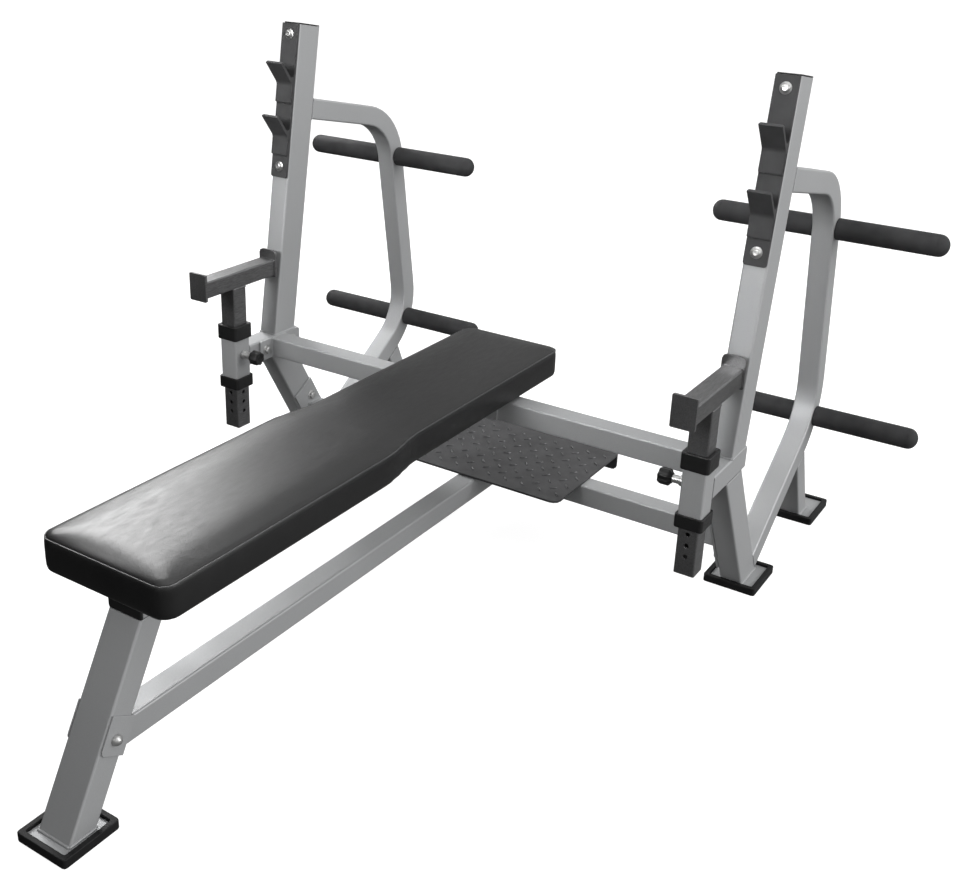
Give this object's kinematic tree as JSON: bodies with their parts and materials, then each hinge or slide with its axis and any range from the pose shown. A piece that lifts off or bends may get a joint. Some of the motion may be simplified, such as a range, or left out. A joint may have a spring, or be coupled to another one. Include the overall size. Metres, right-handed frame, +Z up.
{
  "type": "olympic bench press",
  "caption": "Flat weight bench with a fixed leaning bar rack, plate storage pegs on bent side tubes, adjustable spotter catchers and a spotter's step.",
  "frame": {"origin": "centre of the footprint, on the floor", "axes": "+X across the bench to the lifter's side marked right, +Y from the foot end of the pad to the rack, +Z up"},
  "size_m": [1.758, 1.973, 1.1533],
  "materials": {
    "silver_frame": "satin silver-grey powder coat",
    "catcher_steel": "dark satin steel",
    "rack_steel": "black textured coat",
    "bar_steel": "plain steel",
    "zinc": "bright zinc plating",
    "chequer_plate": "black-coated tread plate",
    "rubber": "matt black moulded rubber",
    "peg_rubber": "matt black sleeve",
    "black_plastic": "matt black nylon",
    "vinyl": "black upholstery vinyl with a fine grain",
    "board": "plain plywood"
  },
  "bodies": {
    "frame": {"bench_foot_boot": "rubber", "bench_foot_plate": "silver_frame", "collar_lower_left": "black_plastic", "collar_lower_right": "black_plastic", "collar_upper_left": "black_plastic", "collar_upper_right": "black_plastic", "frame_leg_left": "silver_frame", "frame_leg_right": "silver_frame", "front_foot_left_boot": "rubber", "front_foot_left_plate": "silver_frame", "front_foot_right_boot": "rubber", "front_foot_right_plate": "silver_frame", "front_leg": "silver_frame", "lower_crossbar": "silver_frame", "pad_board": "board", "pad_cushion": "vinyl", "pad_rail": "silver_frame", "peg_bar_lower_left": "bar_steel", "peg_bar_lower_right": "bar_steel", "peg_bar_upper_left": "bar_steel", "peg_bar_upper_right": "bar_steel", "peg_sleeve_lower_inner_left": "peg_rubber", "peg_sleeve_lower_inner_right": "peg_rubber", "peg_sleeve_lower_outer_left": "peg_rubber", "peg_sleeve_lower_outer_right": "peg_rubber", "peg_sleeve_upper_inner_left": "peg_rubber", "peg_sleeve_upper_inner_right": "peg_rubber", "peg_sleeve_upper_outer_left": "peg_rubber", "peg_sleeve_upper_outer_right": "peg_rubber", "pin_barrel_left": "zinc", "pin_barrel_right": "zinc", "platform": "chequer_plate", "rack_plate_left": "rack_steel", "rack_plate_right": "rack_steel", "rail_cap": "black_plastic", "rear_foot_left_boot": "rubber", "rear_foot_left_plate": "silver_frame", "rear_foot_right_boot": "rubber", "rear_foot_right_plate": "silver_frame", "rear_hoop_left": "silver_frame", "rear_hoop_right": "silver_frame", "rear_leg_left": "silver_frame", "rear_leg_right": "silver_frame", "spine_bolt": "zinc", "spine_saddle": "silver_frame", "spine_tube": "silver_frame", "stand_arm_left": "silver_frame", "stand_arm_right": "silver_frame", "stand_sleeve_left": "silver_frame", "stand_sleeve_right": "silver_frame", "upper_crossbar": "silver_frame", "upright_cap_left": "black_plastic", "upright_cap_right": "black_plastic", "upright_left": "silver_frame", "upright_right": "silver_frame"},
    "spotter_left": {"spotter_catcher_left": "catcher_steel"},
    "spotter_right": {"spotter_catcher_right": "catcher_steel"},
    "pin_left": {"pin_knob_left": "black_plastic"},
    "pin_right": {"pin_knob_right": "black_plastic"}
  },
  "joints": [
    {"name": "spotter_left_height", "type": "slide", "parent": "frame", "child": "spotter_left", "axis": [0, 0, 1], "range_m": [-0.0508, 0.127]},
    {"name": "pin_left_pull", "type": "slide", "parent": "frame", "child": "pin_left", "axis": [1, 0, 0], "range_m": [0, 0.012], "stiffness_N_per_m": 600, "springref_m": -0.005},
    {"name": "spotter_right_height", "type": "slide", "parent": "frame", "child": "spotter_right", "axis": [0, 0, 1], "range_m": [-0.0508, 0.127]},
    {"name": "pin_right_pull", "type": "slide", "parent": "frame", "child": "pin_right", "axis": [-1, 0, 0], "range_m": [0, 0.012], "stiffness_N_per_m": 600, "springref_m": -0.005}
  ]
}
